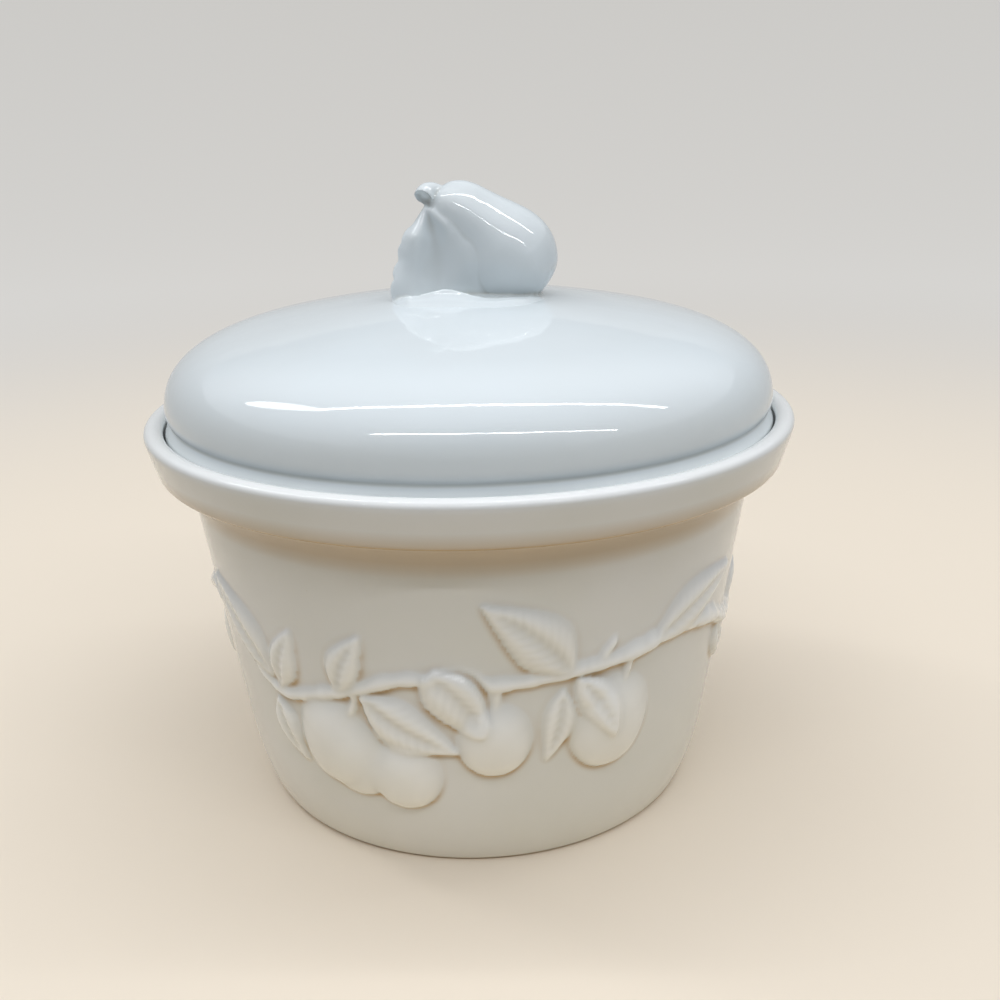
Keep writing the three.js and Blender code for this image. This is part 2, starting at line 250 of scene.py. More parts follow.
# %% [markdown]
# ## The garland: where its leaves and fruit are
# The garland fills half of the girth and comes twice, once on the front and once on the back. Each
# place is a share of one repeat's girth, counted from the front, and a share of the pot's height, so
# that the drawing can be laid over the photo. A leaf has the place of its base and of its tip, its
# width as a share of its length, its rise in mm, how far its rib bows to the left, how much it stands
# over what it crosses, and how deep the fold is under a curled edge.

# %% Garland places
REPEATS, GARLAND_RADIUS, GARLAND_HIGH = 2, 62.1, 92.2
GIRTH = 2 * math.pi * GARLAND_RADIUS / REPEATS

BRANCH = [
    (-0.5, 0.52), (-0.44, 0.555), (-0.4, 0.6), (-0.366, 0.622), (-0.34, 0.59),
    (-0.31, 0.53), (-0.274, 0.456), (-0.237, 0.422), (-0.184, 0.452), (-0.135, 0.487),
    (-0.078, 0.53), (-0.013, 0.528), (0.021, 0.519), (0.09, 0.533), (0.17, 0.546),
    (0.216, 0.563), (0.261, 0.56), (0.321, 0.53), (0.368, 0.487), (0.43, 0.482),
    (0.5, 0.52),
]
TWIGS = [
    [(0.125, 0.535), (0.133, 0.56), (0.146, 0.592)],
    [(0.168, 0.55), (0.168, 0.52), (0.163, 0.48)],
    [(-0.135, 0.48), (-0.14, 0.44), (-0.15, 0.4)],
    [(0.02, 0.51), (0.018, 0.45)],
    [(-0.49, 0.52), (-0.5, 0.47)],
]
FRUITS = [
    [(-0.173, 0.342, 1.1, 1.3, 2.8), (-0.145, 0.305, 1.08, 1.16, 2.2), (-0.087, 0.277, 1.0, 1.04, 2.6)],
    [(0.016, 0.38, 0.95, 1.06, 2.7)],
    [(0.152, 0.382, 1.2, 1.34, 2.7)],
    [(-0.5, 0.39, 0.95, 1.05, 2.7)],
]
LEAVES = [
    (-0.252, 0.46, -0.36, 0.665, 0.42, 1.7, -0.05, 0.3, 0),
    (-0.241, 0.439, -0.209, 0.612, 0.52, 1.7, 0.06, 0.4, 0),
    (-0.157, 0.475, -0.12, 0.638, 0.52, 1.7, 0.07, 0.4, 0),
    (-0.255, 0.4, -0.222, 0.24, 0.58, 1.6, -0.06, 0.3, 0),
    (0.09, 0.493, 0.073, 0.3, 0.44, 1.5, 0.05, 0.6, 0),
    (0.198, 0.56, 0.345, 0.668, 0.38, 1.9, 0.06, 0.6, 0),
    (0.1, 0.535, 0.005, 0.728, 0.52, 1.8, -0.05, 0.4, 0),
    (-0.127, 0.478, -0.022, 0.343, 0.52, 2.0, -0.05, 1.1, 0),
    (-0.05, 0.556, 0.004, 0.4, 0.8, 2.1, 0.06, 1.1, 1.0),
    (0.106, 0.52, 0.149, 0.35, 0.5, 2.4, 0.06, 1.2, 0),
    (0.35, 0.49, 0.39, 0.355, 0.5, 1.5, -0.05, 0.4, 0),
    (0.415, 0.482, 0.485, 0.6, 0.44, 1.4, 0.05, 0.4, 0),
]
LEAF_OUTLINE = [
    (0, 0.1), (0.1, 0.48), (0.2, 0.78), (0.3, 0.96), (0.4, 1), (0.5, 0.95),
    (0.6, 0.83), (0.7, 0.66), (0.8, 0.48), (0.9, 0.27), (1, 0.01),
]
print(len(LEAVES), "leaves,", sum(map(len, FRUITS)), "fruit swellings,", len(TWIGS), "twigs")
print("a repeat is", round(GIRTH, 1), "mm of girth")

# %% [markdown]
# ## The garland: how high it stands
# Low relief has no undercuts, because it has to leave the mould, so one height for each place on the
# wall holds all of it. In the photo every form fades into the wall on its upper side and ends in a
# crisp line below, where the modeller cut it free. So each form gets a soft upper and a crisp lower
# edge. A fruit is a shallow dome, the branch a flattened rod, and a leaf is two soft rolls with a sunk,
# feathered rib and a toothed edge. A leaf that crosses a fruit rides on it.

# %% Relief of fruit, branch and leaves
FRUIT_RADIUS, TWIG_RADIUS, SWELLING_BLEND = 9.0, 0.9, 2.8
OUTLINE_STEPS = 40
OUTLINE = [through(LEAF_OUTLINE, i / OUTLINE_STEPS) for i in range(OUTLINE_STEPS + 1)]
BRANCH_RADII = [(-0.5, 1.1), (-0.2, 1.15), (0.1, 1.2), (0.19, 1.5), (0.3, 1.6), (0.5, 1.1)]
CRISP, SOFT = 0.42, 1.15
ROD_ABOVE, ROD_BELOW, KNOTS = 2.3, 0.9, 0.1
TOOTH_MM, TOOTH_BELOW, TOOTH_ABOVE = 1.8, 0.065, 0.02
VEIN_MM, VEIN_DEEP, RIB_MM, RIB_SHARE = 2.3, 0.13, 0.55, 0.13
FOLD_MM, FOLD_PLACE, FOLD_WIDE = 2.3, 0.74, 0.09


def mm_place(turn, height):
    """A place in mm, from its shares of the repeat's girth and of the pot's height."""
    return turn * GIRTH, height * GARLAND_HIGH


def round_the_girth(distance):
    """The short way round to a place, since the repeats join up."""
    return (distance + GIRTH / 2) % GIRTH - GIRTH / 2


def bell(values, middle, width):
    """A smooth bump, 1 at the middle and next to nothing two widths away."""
    return np.exp(-(((values - middle) / width) ** 2))


def fall_off(away, upward):
    """A profile from 1 in the middle to 0 at the edge: soft where it faces up, crisp where it faces down."""
    power = CRISP + (SOFT - CRISP) * np.clip(0.5 + 0.7 * upward, 0, 1)
    return np.clip(1 - away, 0, 1) ** power


def fruit_relief(along, high, swellings):
    """The height of one fruit, made of swellings that flow into each other."""
    softly = np.zeros_like(along)
    for turn, height, wide, tall, rise in swellings:
        middle = mm_place(turn, height)
        x = round_the_girth(along - middle[0]) / (FRUIT_RADIUS * wide)
        z = (high - middle[1]) / (FRUIT_RADIUS * tall)
        away = np.hypot(x, z)
        upward = 1.2 * z / np.maximum(away, 0.01) + 0.35
        softly += (rise * fall_off(away**2, upward)) ** SWELLING_BLEND
    return softly ** (1 / SWELLING_BLEND)


def smooth_line(shares, steps=22):
    """Points in mm along a curve that passes through all the places."""
    places = [mm_place(*share) for share in shares]
    count = steps * (len(places) - 1)
    return [through(places, i / count) for i in range(count + 1)]


def rod_relief(along, high, shares, radii):
    """The height of a flattened rod along a line: it slopes away above and drops off below."""
    found = np.zeros_like(along)
    for i, point in enumerate(smooth_line(shares)):
        knot = 1 + KNOTS * math.sin(i * 0.41) * math.sin(i * 0.17)
        size = float(np.interp(point.x / GIRTH, *zip(*radii))) * knot
        x, z = round_the_girth(along - point.x) / size, (high - point.y) / size
        away = np.hypot(x, np.where(z > 0, z / ROD_ABOVE, z / ROD_BELOW))
        found = np.maximum(found, size * fall_off(away**2, np.sign(z)))
    return found


def leaf_relief(along, high, under, drape, leaf):
    """The height of everything once a leaf is laid over what is under it, which the drape smooths out."""
    base_turn, base_high, tip_turn, tip_high, width_share, rise, bow, over, curl = leaf
    base, tip = Vector(mm_place(base_turn, base_high)), Vector(mm_place(tip_turn, tip_high))
    rib = tip - base
    length, way = rib.length, rib.normalized()
    x, z = round_the_girth(along - base.x), high - base.y
    forward = (x * way.x + z * way.y) / length
    side = z * way.x - x * way.y - bow * length * np.sin(np.pi * np.clip(forward, 0, 1))
    upward = np.sign(side) * (0.9 * way.x + 0.4 * way.y)
    teeth = np.where(upward < 0, TOOTH_BELOW, TOOTH_ABOVE)
    tooth = (forward * length / TOOTH_MM) % 1 * (forward > 0.12) * teeth
    outline = np.clip(np.interp(forward, *zip(*OUTLINE)), 0, 1) ** (1 - 0.4 * curl)
    half = width_share * length / 2 * outline * (1.03 - tooth)
    share = np.clip(np.abs(side) / np.maximum(half, 1e-6), 0, 1)
    inside = (forward > 0) & (forward < 1) & (share < 1)
    rolls = fall_off(share**2.6, upward) * (0.84 + 0.16 * np.sin(np.pi * share))
    middle = np.clip(7 * forward, 0, 1) * np.clip(3.2 * (1 - forward), 0, 1)
    feather = np.cos(2 * np.pi * (forward * length - 0.9 * np.abs(side)) / VEIN_MM)
    rib_gap = RIB_MM * middle * bell(side, 0, RIB_SHARE * width_share * length) * (0.8 + 0.2 * feather)
    veins = VEIN_DEEP * np.clip(feather, 0, 1) ** 2 * np.clip(4 * share * (1 - share), 0, 1) * middle
    fold = FOLD_MM * curl * bell(share, FOLD_PLACE, FOLD_WIDE) * (upward > 0) * middle
    swell = 0.55 + 0.45 * np.sin(np.pi * np.clip(forward, 0, 1) ** 0.8)
    sunk = rib_gap + veins + fold
    own = rise * rolls * swell - sunk
    riding = drape + over * rolls - sunk
    showing = under * np.clip(4 * share - 3, 0, 1)
    return np.where(inside, np.maximum.reduce([own, riding, showing, 0 * own]), under)


def softened(grid, sigma):
    """The grid of heights, blurred as a coat of glaze would blur it. Sigma is in grid steps."""
    reach = int(3 * sigma) + 1
    weights = np.exp(-0.5 * (np.arange(-reach, reach + 1) / sigma) ** 2)
    weights /= weights.sum()
    turned = sum(w * np.roll(grid, k, axis=1) for w, k in zip(weights, range(-reach, reach + 1)))
    padded = np.pad(turned, ((reach, reach), (0, 0)), mode="edge")
    return sum(w * padded[k : k + grid.shape[0]] for k, w in enumerate(weights))


# %% [markdown]
# ## The garland: the whole relief
# Fruit and branch come first and the leaves are laid over them in order. Then the glaze softens all
# of it a little. Glaze that runs off the high places gathers below them, in the corner between a
# form's lower edge and the wall. There the height is below that of a wider blur and grows upwards,
# and the darker colour there is partly that glaze and partly painted shade under each form. The glaze
# is thinner where the height is above that blur, and a little thinner on all that stands high, and the
# lighter colour there is partly that and partly a painted highlight on ridges and edges.

# %% Whole relief
COLUMNS, COARSE_COLUMNS = 720, 240
STEP_MM = 2 * math.pi * GARLAND_RADIUS / COLUMNS
GLAZE_MM, POOL_AND_SHADE_MM, DRAPE_MM = 0.34, 1.2, 1.6
RELIEF = 1.2  # all of it stands this many times as high as drawn
# Weights of the darker colour in hollows and below edges, glaze and painted shade, and of the lighter one on
# edges and high places, thinner glaze and painted highlight.
PLAIN, IN_HOLLOW, POOL_AND_SHADE_BELOW, STEEP_MM = 0.5, 0.3, 1.5, 0.25
OFF_EDGE_AND_HIGHLIGHT, OFF_HIGH, HIGH_MM = 1.1, 0.3, 2.4


def garland_height(turns, heights):
    """Relief in mm on a grid of turns (radians from the front) and heights (mm)."""
    along, high = np.meshgrid(np.asarray(turns) * GARLAND_RADIUS, heights)
    along = round_the_girth(along)
    relief = np.zeros_like(along)
    for swellings in FRUITS:
        relief = np.maximum(relief, fruit_relief(along, high, swellings))
    relief = np.maximum(relief, rod_relief(along, high, BRANCH, BRANCH_RADII))
    for twig in TWIGS:
        relief = np.maximum(relief, rod_relief(along, high, twig, [(0, TWIG_RADIUS)]))
    for leaf in LEAVES:
        relief = leaf_relief(along, high, relief, softened(relief, DRAPE_MM / STEP_MM), leaf)
    return RELIEF * relief


turns = np.arange(COLUMNS) * 2 * math.pi / COLUMNS
relief = softened(garland_height(turns, [z for _, z in band]), GLAZE_MM / STEP_MM)
wide = softened(relief, POOL_AND_SHADE_MM / STEP_MM)
# Below each form's lower edge the colour darkens: glaze that gathers, and painted shade.
below_edge_pool_and_shade = softened(np.clip(np.gradient(relief, axis=0) / STEEP_MM, 0, 1), POOL_AND_SHADE_MM / STEP_MM / 2)
# On edges and high places it lightens: thinner glaze, and a painted highlight.
run_off_and_highlight = OFF_EDGE_AND_HIGHLIGHT * np.clip(relief - wide, 0, 1) + OFF_HIGH * np.clip(relief / HIGH_MM, 0, 1)
pooling_and_shade = PLAIN + np.clip(wide - relief, 0, 1) * (IN_HOLLOW + POOL_AND_SHADE_BELOW * below_edge_pool_and_shade) - run_off_and_highlight
print("relief up to", round(float(relief.max()), 2), "mm, a point every", round(STEP_MM, 2), "mm")

# %% [markdown]
# ## Glazed earthenware
# The ware is cast earthenware, biscuit-fired white and dipped in a clear glossy glaze, IOR about 1.5.
# Where the glaze runs into a hollow it is thick and looks warm, and where it thins over an edge the
# ware looks lighter. The same darker colour also paints shade and a warm reflection from below in
# hollows, under forms and under the collar, and the lighter one paints highlights on ridges and on the
# lip. The copy on the lid and handle is tinted a little blue, which paints the cool light they reflect.
# The glaze lies in a faint orange peel, so a straight lamp is mirrored as a slightly wavy line. A few
# pinholes show up close. A flat white would lose all of this, so the colour follows a value that is
# kept at each point of the mesh, and the peel is a bump of hundredths of a millimetre.

# %% Glaze material
PEEL_MM, RIPPLE_MM, PINHOLE_MM, CLOUD_MM = 6.0, 1.1, 15.0, 40.0
PEEL_DEEP, RIPPLE_DEEP, PINHOLE_DEEP = 0.03, 0.0025, 0.05
SMOOTHEST, ROUGHEST, IOR = 0.02, 0.035, 1.5


def glazed_earthenware(name, plain, clouded, thin_and_highlit, pooled_and_shaded):
    """White ware under clear glossy glaze: plain, drifting, thinner and deeper colours, the last two also
    painted highlight and shade.
    """
    material, tree = new_material(name)
    place = add(tree, "TexCoord", out="Object")
    pool_and_shade = add(tree, "Attribute", out="Fac", attribute_name="pool_and_shade")
    # The deeper colour is glaze that gathers and painted shade; the edge colour is thinner glaze and painted
    # highlight.
    deep_and_shaded = add(tree, "MapRange", {"Value": pool_and_shade, "From Min": 0.52, "From Max": 1.0})
    edge = add(tree, "MapRange", {"Value": pool_and_shade, "From Min": 0.48, "From Max": 0.0})
    cloud = add(tree, "TexNoise", {"Vector": place, "Scale": 1 / (CLOUD_MM * MM), "Detail": 3.0})
    drift = add(tree, "MapRange", {"Value": cloud, "From Min": 0.35, "From Max": 0.65})
    colour = add(tree, "Mix", {"Factor": drift, "A": card(plain), "B": card(clouded)}, data_type="RGBA")
    colour = add(tree, "Mix", {"Factor": edge, "A": colour, "B": card(thin_and_highlit)}, data_type="RGBA")
    colour = add(tree, "Mix", {"Factor": deep_and_shaded, "A": colour, "B": card(pooled_and_shaded)}, data_type="RGBA")
    pinhole = add(tree, "TexVoronoi", {"Vector": place, "Scale": 1 / (PINHOLE_MM * MM)}, out="Distance")
    pit = add(tree, "MapRange", {"Value": pinhole, "From Min": 0.006, "From Max": 0.018})
    colour = add(tree, "Mix", {"Factor": pit, "A": card(pooled_and_shaded), "B": colour}, data_type="RGBA")
    peel = add(tree, "TexNoise", {"Vector": place, "Scale": 1 / (PEEL_MM * MM), "Detail": 1.0})
    ripple = add(tree, "TexNoise", {"Vector": place, "Scale": 1 / (RIPPLE_MM * MM), "Detail": 1.0})
    surface = add(tree, "Bump", {"Height": peel, "Strength": 1.0, "Distance": PEEL_DEEP * MM})
    for height, deep_mm in ((ripple, RIPPLE_DEEP), (pit, PINHOLE_DEEP)):
        bump = {"Height": height, "Strength": 1.0, "Distance": deep_mm * MM, "Normal": surface}
        surface = add(tree, "Bump", bump)
    limits = {"From Min": 0.3, "From Max": 0.7, "To Min": SMOOTHEST, "To Max": ROUGHEST}
    rough = add(tree, "MapRange", {"Value": cloud, **limits})
    look = {"Base Color": colour, "Roughness": rough, "IOR": IOR, "Normal": surface}
    shader = add(tree, "BsdfPrincipled", look)
    add(tree, "OutputMaterial", {"Surface": shader})
    return material


# The pot's tan deeper colour is painted shade and a painted warm reflection from below, partly glaze that
# gathers.
glaze_with_warm_painted_shade = glazed_earthenware(
    "clear glaze over earthenware, with warm painted shade",
    plain="#dee0e1", clouded="#dadcda", thin_and_highlit="#eef0f0", pooled_and_shaded="#bba27e",
)
# The same glaze for lid and handle, tinted a little blue as painted cool light; its grey deeper colour is
# painted shade, partly glaze that gathers.
glaze_tinted_for_cool_light = glazed_earthenware(
    "clear glaze tinted blue for painted cool light",
    plain="#dce4e8", clouded="#dae1e4", thin_and_highlit="#e7edef", pooled_and_shaded="#b4b7b0",
)
print("peel every", PEEL_MM, "mm, ripple every", RIPPLE_MM, "mm")

# %% [markdown]
# ## Bare biscuit
# A pot that stands on glaze would stick to the kiln shelf, so the ring that it stands on is wiped. What
# shows there is fired clay: matt, a little darker and yellower, with a fine grain of a third of a mm.

# %% Biscuit material
GRAIN_MM, GRAIN_DEEP = 0.35, 0.05


def bare_biscuit():
    """Fired clay without glaze."""
    material, tree = new_material("bare fired earthenware")
    place = add(tree, "TexCoord", out="Object")
    grain = add(tree, "TexNoise", {"Vector": place, "Scale": 1 / (GRAIN_MM * MM), "Detail": 2.0})
    colour = add(tree, "Mix", {"Factor": grain, "A": card("#cfc1aa"), "B": card("#e0d5c2")}, data_type="RGBA")
    surface = add(tree, "Bump", {"Height": grain, "Strength": 1.0, "Distance": GRAIN_DEEP * MM})
    look = {"Base Color": colour, "Roughness": 0.85, "IOR": IOR, "Normal": surface}
    shader = add(tree, "BsdfPrincipled", look)
    add(tree, "OutputMaterial", {"Surface": shader})
    return material


biscuit = bare_biscuit()
print("grain", GRAIN_MM, "mm")

# %% [markdown]
# ## The pot
# Three spins give the foot, the garland band and the rest. The band has 720 columns and the others 240,
# and two bridges join them where the wall is straight, so the join can't be seen. Then the band's
# points are pushed out by the relief, and every point gets a value for how thick its glaze looks. That
# value also holds painted shade and a painted warm reflection under the collar and the garland's forms,
# and a painted highlight on ridges and on the lip.

# %% Pot
CLOSE_MM, BARE_HIGH, BARE_FROM = 0.01, 0.8, 47.2
COVE_FROM, COVE_TO, COVE_FADE, CREASE_AT, CREASE_WIDE = 72.5, 82.0, 3.5, 81.3, 0.8
COLLAR_FROM, COLLAR_TO, COLLAR_FADE, LIP_FROM, LIP_FADE = 81.45, 86.0, 3.6, 90.6, 1.2


def ring_edges(bm, height):
    """The open edges that lie at one height, in mm."""
    loose = [e for e in bm.edges if e.is_boundary]
    return [e for e in loose if all(abs(v.co.z - height * MM) < CLOSE_MM * MM for v in e.verts)]


bm = bmesh.new()
spin(bm, foot, COARSE_COLUMNS)
spin(bm, band, COLUMNS)
spin(bm, upper, COARSE_COLUMNS)
bmesh.ops.remove_doubles(bm, verts=bm.verts, dist=MERGE)
for low, high in ((foot[-1][1], band[0][1]), (band[-1][1], upper[0][1])):
    bmesh.ops.bridge_loops(bm, edges=ring_edges(bm, low) + ring_edges(bm, high))
bmesh.ops.recalc_face_normals(bm, faces=bm.faces)
for face in bm.faces:
    middle = face.calc_center_median()
    face.material_index = int(middle.z < BARE_HIGH * MM and math.hypot(middle.x, middle.y) > BARE_FROM * MM)
pot = to_piece(bm, "glazed_crock", glaze_with_warm_painted_shade, biscuit)


def points_of(piece):
    """The mesh's points in mm, one row each."""
    flat = np.zeros(3 * len(piece.data.vertices), np.float32)
    piece.data.vertices.foreach_get("co", flat)
    return flat.reshape(-1, 3).astype(float) / MM


def set_points(piece, points):
    """Moves the mesh's points to places in mm."""
    piece.data.vertices.foreach_set("co", (points * MM).astype(np.float32).ravel())
    piece.data.update()


def set_pool_and_shade(piece, values):
    """Keeps how thick the glaze looks at each point, painted shade and highlight included: 0 thinnest, 0.5
    plain, 1 deepest.
    """
    pool_and_shade = piece.data.attributes.new("pool_and_shade", "FLOAT", "POINT")
    pool_and_shade.data.foreach_set("value", np.clip(values, 0, 1).astype(np.float32))


places = points_of(pot)
heights, radii = places[:, 2], np.hypot(places[:, 0], places[:, 1])
rows = np.array([z for _, z in band])
in_band = (heights > rows[0] - CLOSE_MM) & (heights < rows[-1] + CLOSE_MM)
in_band &= radii > wall_radius(heights) - 1
column = np.round(np.arctan2(places[:, 0], -places[:, 1]) / (2 * math.pi) * COLUMNS).astype(int) % COLUMNS
row = np.abs(heights[:, None] - rows[None, :]).argmin(axis=1)
grown = np.where(in_band, relief[row, column], 0.0) / np.maximum(radii, 1.0)
places[:, :2] *= 1 + grown[:, None]
set_points(pot, places)
outside = radii > wall_radius(heights) - 2
# The cove, its crease and the collar's lower face darken to a warm tan: painted shade and a painted warm
# reflection from below, partly glaze that gathers in the crease.
cove = np.clip((heights - COVE_FROM) / COVE_FADE, 0, 1) * (heights < COVE_TO) * outside
crease = bell(heights, CREASE_AT, CREASE_WIDE) * outside
collar_low = np.clip((COLLAR_TO - heights) / COLLAR_FADE, 0, 1) * (heights > COLLAR_FROM) * outside
floor_corner = bell(heights - FLOOR, 1.5, 2.5) * (radii > 44) * (radii < 54)
# The lip's top takes the lighter colour: partly thinner glaze over the lip, partly a painted highlight.
lip_top = np.clip((heights - LIP_FROM) / LIP_FADE, 0, 1)
pooled_and_shaded = np.where(in_band, pooling_and_shade[row, column], PLAIN)
for amount, where in ((0.32, cove), (0.1, crease), (0.3, collar_low), (0.2, floor_corner), (-0.4, lip_top)):
    pooled_and_shaded = pooled_and_shaded + amount * where
set_pool_and_shade(pot, pooled_and_shaded)
report(pot)
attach(pot, "crock")
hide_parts("crock")

# %% [markdown]
# ## The lid
# The lid is one shell: a dome that stays nearly flat for two thirds of its radius and then turns over a
# full shoulder and an edge that rolls under. Below that edge it flares again to a narrow flange, which
# shows as a pale line all round just inside the rim. Its neck drops inside the rim, and the hollow side
# is the dome's curve, a wall's thickness in.

# %% Lid
LID_COLUMNS = 320
FLANGE, SEAT_IN, SEAT_ROUND = 71.3, 66.2, 0.8
TUCK_AT, TUCK_WIDE, FLANGE_AT, FLANGE_WIDE = 93.3, 0.5, 90.8, 1.4
CROWN, LID_RADIUS, WIDEST, NECK_RADIUS, LID_FOOT, SHELL = 118.0, 70.88, 96.0, 70.0, 86.0, 3.8


def dome_curve(inset, steps):
    """The dome's section from the crown to its widest line, set in by the inset."""
    top, side = CROWN - inset, LID_RADIUS - inset
    curve = full_curve([(0, top), (25, top), (50, top - 5.5)], steps)
    shoulder = [(50, top - 5.5), (60.6, top - 7.83), (side, WIDEST + 9.6 - inset / 2), (side, WIDEST)]
    return curve + bezier(shoulder, steps)


dome = dome_curve(0, 44)
edge = bezier([(LID_RADIUS, WIDEST), (LID_RADIUS, 94.6), (70.2, 93.7)], 8)
edge += bezier([(70.2, 93.7), (69.95, 93.35), (70.15, 92.9)], 4)
edge += bezier([(70.15, 92.9), (70.7, 91.7), (FLANGE, 90.4)], 4)
edge += bezier([(FLANGE, 90.4), (FLANGE + 0.05, 89.2), (NECK_RADIUS, 88.4)], 4)
seat_high, seat_out = LID_FOOT + SEAT_ROUND, NECK_RADIUS - SEAT_ROUND
seat = full_curve([(NECK_RADIUS, seat_high), (NECK_RADIUS, LID_FOOT), (seat_out, LID_FOOT)], 3)
seat += full_curve([(SEAT_IN + SEAT_ROUND, LID_FOOT), (SEAT_IN, LID_FOOT), (SEAT_IN, seat_high)], 3)
hollow = full_curve([(SEAT_IN, 93.0), (66.3, 95.5), (67.0, 96.2)], 3)
bm = bmesh.new()
spin(bm, dome + edge + seat + hollow + dome_curve(SHELL, 18)[::-1][1:], LID_COLUMNS)
close_up(bm)
lid = to_piece(bm, "glazed_lid", glaze_tinted_for_cool_light)
places = points_of(lid)
heights, radii = places[:, 2], np.hypot(places[:, 0], places[:, 1])
# The crease under the rolled edge darkens: glaze that gathers and painted shade. The flange lightens: a
# painted pale line of light, partly thinner glaze over its edge.
tuck_shade = bell(heights, TUCK_AT, TUCK_WIDE) * (radii > 69)
flange = bell(heights, FLANGE_AT, FLANGE_WIDE) * (radii > 69.9)
set_pool_and_shade(lid, PLAIN + 0.3 * tuck_shade - 0.5 * flange)
report(lid)
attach(lid, "lid")
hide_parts("lid")


def dome_height(radius):
    """Height of the dome's outside at a radius, in mm."""
    return np.interp(radius, [r for r, _ in dome], [z for _, z in dome])


print("dome at 20 mm:", round(float(dome_height(20)), 2), "mm")

# %% [markdown]
# ## The handle's fruit
# A plump pear-shaped fruit lies on its side with its thick end to the right and its neck up to the
# left. It is spun like the pot and then laid over. It was pressed in a small mould by hand, so it isn't
# quite round: a few shallow lobes run along it.

# %% Fruit of the handle
FRUIT_SECTION = [
    (-11.3, 0), (-11.05, 2.6), (-10.0, 5.5), (-8.2, 8.0), (-5.6, 9.9), (-2.6, 11.0), (0.4, 11.3),
    (3.6, 10.95), (7.0, 10.0), (10.4, 9.0), (13.4, 8.15), (16.4, 7.25), (18.9, 5.9), (20.8, 3.9),
    (21.7, 1.8), (21.9, 0),
]
FRUIT_MIDDLE, FRUIT_LEAN = Vector((9.5, 0, 126.1)), math.radians(-47.5)
FRUIT_COLUMNS, FRUIT_ROWS = 120, 90
LOBES, LOBE_MM, LOBE_TURN, LOBES_FROM = 5, 0.22, 0.6, 3


def add_fruit(bm):
    """The fruit, spun upright with its lobes and then laid over."""
    curve = [through(FRUIT_SECTION, i / FRUIT_ROWS) for i in range(FRUIT_ROWS + 1)]
    made = spin(bm, [(max(radius, 0), along) for along, radius in curve], FRUIT_COLUMNS)
    for v in made:
        lobe = math.cos(LOBES * math.atan2(v.co.y, v.co.x) + LOBE_TURN) * LOBE_MM * MM
        radius = math.hypot(v.co.x, v.co.y)
        if radius > LOBES_FROM * MM:
            v.co.x *= 1 + lobe / radius
            v.co.y *= 1 + lobe / radius
    bmesh.ops.rotate(bm, verts=made, cent=(0, 0, 0), matrix=Matrix.Rotation(FRUIT_LEAN, 3, "Y"))
    bmesh.ops.translate(bm, verts=made, vec=FRUIT_MIDDLE * MM)


print("fruit", round(FRUIT_SECTION[-1][0] - FRUIT_SECTION[0][0], 1), "mm long")

# %% [markdown]
# ## The handle's stem and leaves
# The stem is a thick stub that hooks over to the front, with a hollow where it was cut. One leaf hangs
# from it over the fruit's neck end: its rib is the valley that shows in the photo, its left half stands
# free with a toothed edge, and its right half lies on the fruit. The other leaf is spread on the dome,
# and its front edge curls up in a wave. The hanging leaf is a grid laid through a few curves and given
# thickness. The spread one is a grid of heights on the dome, with a run of glaze round its edge.

# %% Stem and leaves of the handle
STEM_PATH = [
    (-4.2, 0.8, 138.0), (-5.9, 0.5, 140.0), (-7.4, -0.3, 141.0),
    (-8.7, -1.6, 140.9), (-9.5, -2.9, 139.7),
]
STEM_RADII = [2.4, 2.15, 2.15, 2.25, 2.3]
HANGING_LEAF = [
    [
        (-9.2, -1.6, 138.4), (-11.4, -2.2, 135.2), (-14.0, -3.0, 132.6), (-15.6, -3.6, 129.8),
        (-16.0, -4.2, 127.0), (-16.9, -5.0, 124.2), (-17.6, -6.0, 121.0), (-17.8, -6.6, 117.2),
    ],
    [
        (-9.0, -3.0, 138.0), (-10.3, -4.9, 134.6), (-11.6, -6.8, 131.8), (-12.0, -6.8, 129.0),
        (-12.2, -6.7, 126.0), (-12.5, -7.1, 123.2), (-12.6, -7.8, 120.6), (-12.6, -8.6, 117.4),
    ],
    [
        (-8.6, -3.6, 137.6), (-7.8, -3.8, 134.2), (-7.3, -4.4, 131.4), (-6.9, -4.7, 128.6),
        (-6.5, -5.1, 126.0), (-6.2, -5.7, 123.4), (-6.0, -6.5, 120.8), (-5.8, -7.4, 117.4),
    ],
    [
        (-8.0, -4.2, 137.4), (-5.2, -6.8, 134.8), (-3.5, -7.6, 132.6), (-2.3, -8.0, 130.8),
        (-0.7, -8.8, 129.2), (0.4, -9.0, 127.0), (1.0, -8.6, 124.0), (1.8, -7.4, 118.4),
    ],
    [
        (-6.8, -4.2, 137.8), (-3.2, -6.4, 136.0), (-1.2, -7.4, 134.0), (0.4, -8.0, 132.2),
        (2.4, -8.7, 130.6), (3.9, -9.3, 127.8), (4.6, -9.2, 124.4), (5.4, -6.9, 118.6),
    ],
]
SHEET_MM, HANGING_TEETH, TOOTH_SHARE = 1.7, 5, 0.07
BED_LONG, BED_WIDE, BED_ASIDE, BED_FORWARD = 37.6, 28.0, 0.6, 1.5
BED_SUNK, BED_LIFT, FILLET, FILLET_MM, FILLET_POWER = 0.8, 0.7, 0.86, 4.0, 1.6
CREST, CREST_WIDE, HOLLOW, HOLLOW_WIDE, HOLLOW_DEEP = 0.8, 0.09, 0.6, 0.08, 0.25
STEEP, STEEP_SPAN, GENTLE, GENTLE_SPAN = 0.6, 0.08, 0.4, 0.5
BED_OUTLINE = [
    (0, 0.02), (0.06, 0.42), (0.18, 0.8), (0.34, 1), (0.52, 1.0), (0.7, 0.92),
    (0.86, 0.76), (0.95, 0.56), (1, 0.3),
]
